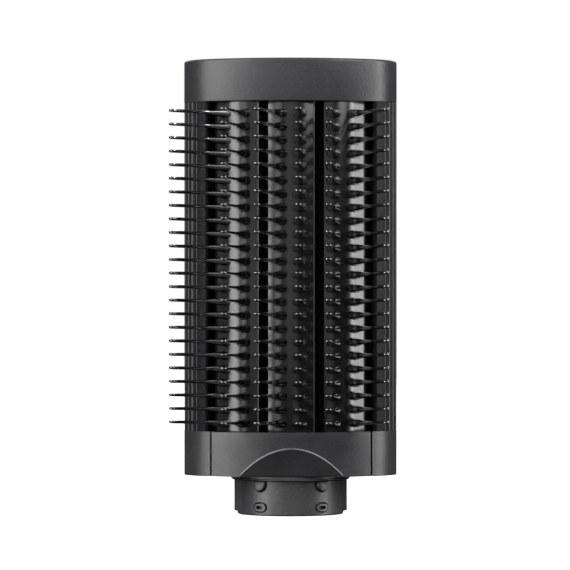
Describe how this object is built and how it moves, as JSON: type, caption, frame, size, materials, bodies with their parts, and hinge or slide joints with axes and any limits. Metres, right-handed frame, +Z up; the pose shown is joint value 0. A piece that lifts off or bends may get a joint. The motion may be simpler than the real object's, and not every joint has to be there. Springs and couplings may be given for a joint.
{
  "type": "smoothing brush head for a hot air styler",
  "caption": "Oval smoothing-brush head with leaning flat bristles over glossy beds, upright air slots, and a keyed push-on plug with sprung detents.",
  "frame": {"origin": "on the plug's axis, at the plug's bottom rim", "axes": "+Z up the plug's axis to the end cap, bristles towards -Y, +X to the right seen from the bristle side"},
  "size_m": [0.0726, 0.0616, 0.145],
  "materials": {
    "shell": "charcoal satin moulding with a fine grain",
    "bed": "polished black",
    "bristle": "polished black nylon",
    "plug": "dark satin, glass-filled",
    "inner": "heat-resistant, matt black",
    "rubber": "moulded seal",
    "silicone": "red-brown heat-resistant gasket",
    "shield": "rolled sheet",
    "screw": "zinc-plated",
    "spring": "spring wire"
  },
  "bodies": {
    "head": {"plug_tube": "plug", "coupling_flange": "plug", "inlet_sleeve": "plug", "inlet_seal": "rubber", "keeper_ring": "plug", "plug_screws": "screw", "flow_straightener": "inner", "duct_gasket": "silicone", "base_housing": "shell", "front_fascia": "shell", "base_screws": "screw", "lower_bulkhead": "inner", "side_panel_left": "shell", "side_panel_right": "shell", "rear_casing": "shell", "heat_shield": "shield", "air_duct": "inner", "plenum_baffle": "inner", "cross_frame": "inner", "tie_rods": "screw", "bed_left": "bed", "bed_centre": "bed", "bed_right": "bed", "bristle_strip_1": "bristle", "bristle_strip_2": "bristle", "bristle_strip_3": "bristle", "bristle_strip_4": "bristle", "bristle_strip_5": "bristle", "bristle_strip_6": "bristle", "bed_screws_lower": "screw", "bed_screws_upper": "screw", "cap_plate": "inner", "end_cap": "shell", "detent_spring_front_left": "spring", "detent_spring_front_right": "spring", "detent_spring_back_left": "spring", "detent_spring_back_right": "spring"},
    "detent_front_left": {"detent_button_front_left": "plug"},
    "detent_front_right": {"detent_button_front_right": "plug"},
    "detent_back_left": {"detent_button_back_left": "plug"},
    "detent_back_right": {"detent_button_back_right": "plug"}
  },
  "joints": [
    {"name": "detent_front_left_press", "type": "slide", "parent": "head", "child": "detent_front_left", "axis": [-0.5736, -0.8192, 0], "range_m": [-0.0011, 0], "stiffness_N_per_m": 600, "springref_m": 0.0004, "deforming": ["detent_spring_front_left"]},
    {"name": "detent_front_right_press", "type": "slide", "parent": "head", "child": "detent_front_right", "axis": [0.5736, -0.8192, 0], "range_m": [-0.0011, 0], "stiffness_N_per_m": 600, "springref_m": 0.0004, "deforming": ["detent_spring_front_right"]},
    {"name": "detent_back_left_press", "type": "slide", "parent": "head", "child": "detent_back_left", "axis": [-0.5736, 0.8192, 0], "range_m": [-0.0011, 0], "stiffness_N_per_m": 600, "springref_m": 0.0004, "deforming": ["detent_spring_back_left"]},
    {"name": "detent_back_right_press", "type": "slide", "parent": "head", "child": "detent_back_right", "axis": [0.5736, 0.8192, 0], "range_m": [-0.0011, 0], "stiffness_N_per_m": 600, "springref_m": 0.0004, "deforming": ["detent_spring_back_right"]}
  ]
}
